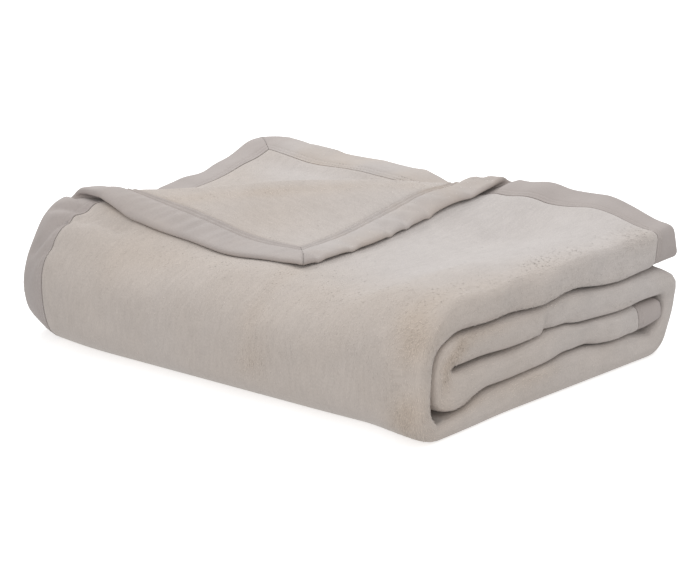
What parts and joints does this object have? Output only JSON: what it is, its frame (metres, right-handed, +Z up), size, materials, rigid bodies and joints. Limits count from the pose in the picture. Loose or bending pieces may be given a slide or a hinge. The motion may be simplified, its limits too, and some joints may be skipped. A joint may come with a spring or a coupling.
{
  "type": "raschel blanket",
  "caption": "Thick plush blanket folded into a low, soft-edged pile with one top corner turned over, its edges bound with flat tape.",
  "frame": {"origin": "on the ground under the middle of the folded pile, on the flat underside of its lowest ply", "axes": "+X along the long front of the pile towards its folded end, +Y towards the back, +Z up from the ground"},
  "size_m": [0.5736, 0.4235, 0.1429],
  "materials": {
    "plush": "short dense velvet pile, matte",
    "binding": "brushed flat tape, matte, a little smoother than the pile"
  },
  "bodies": {
    "root": {"plush_panel": "plush", "binding_outer_side": "binding", "binding_inner_side": "binding", "binding_outer_end": "binding", "binding_inner_end": "binding"}
  },
  "joints": []
}
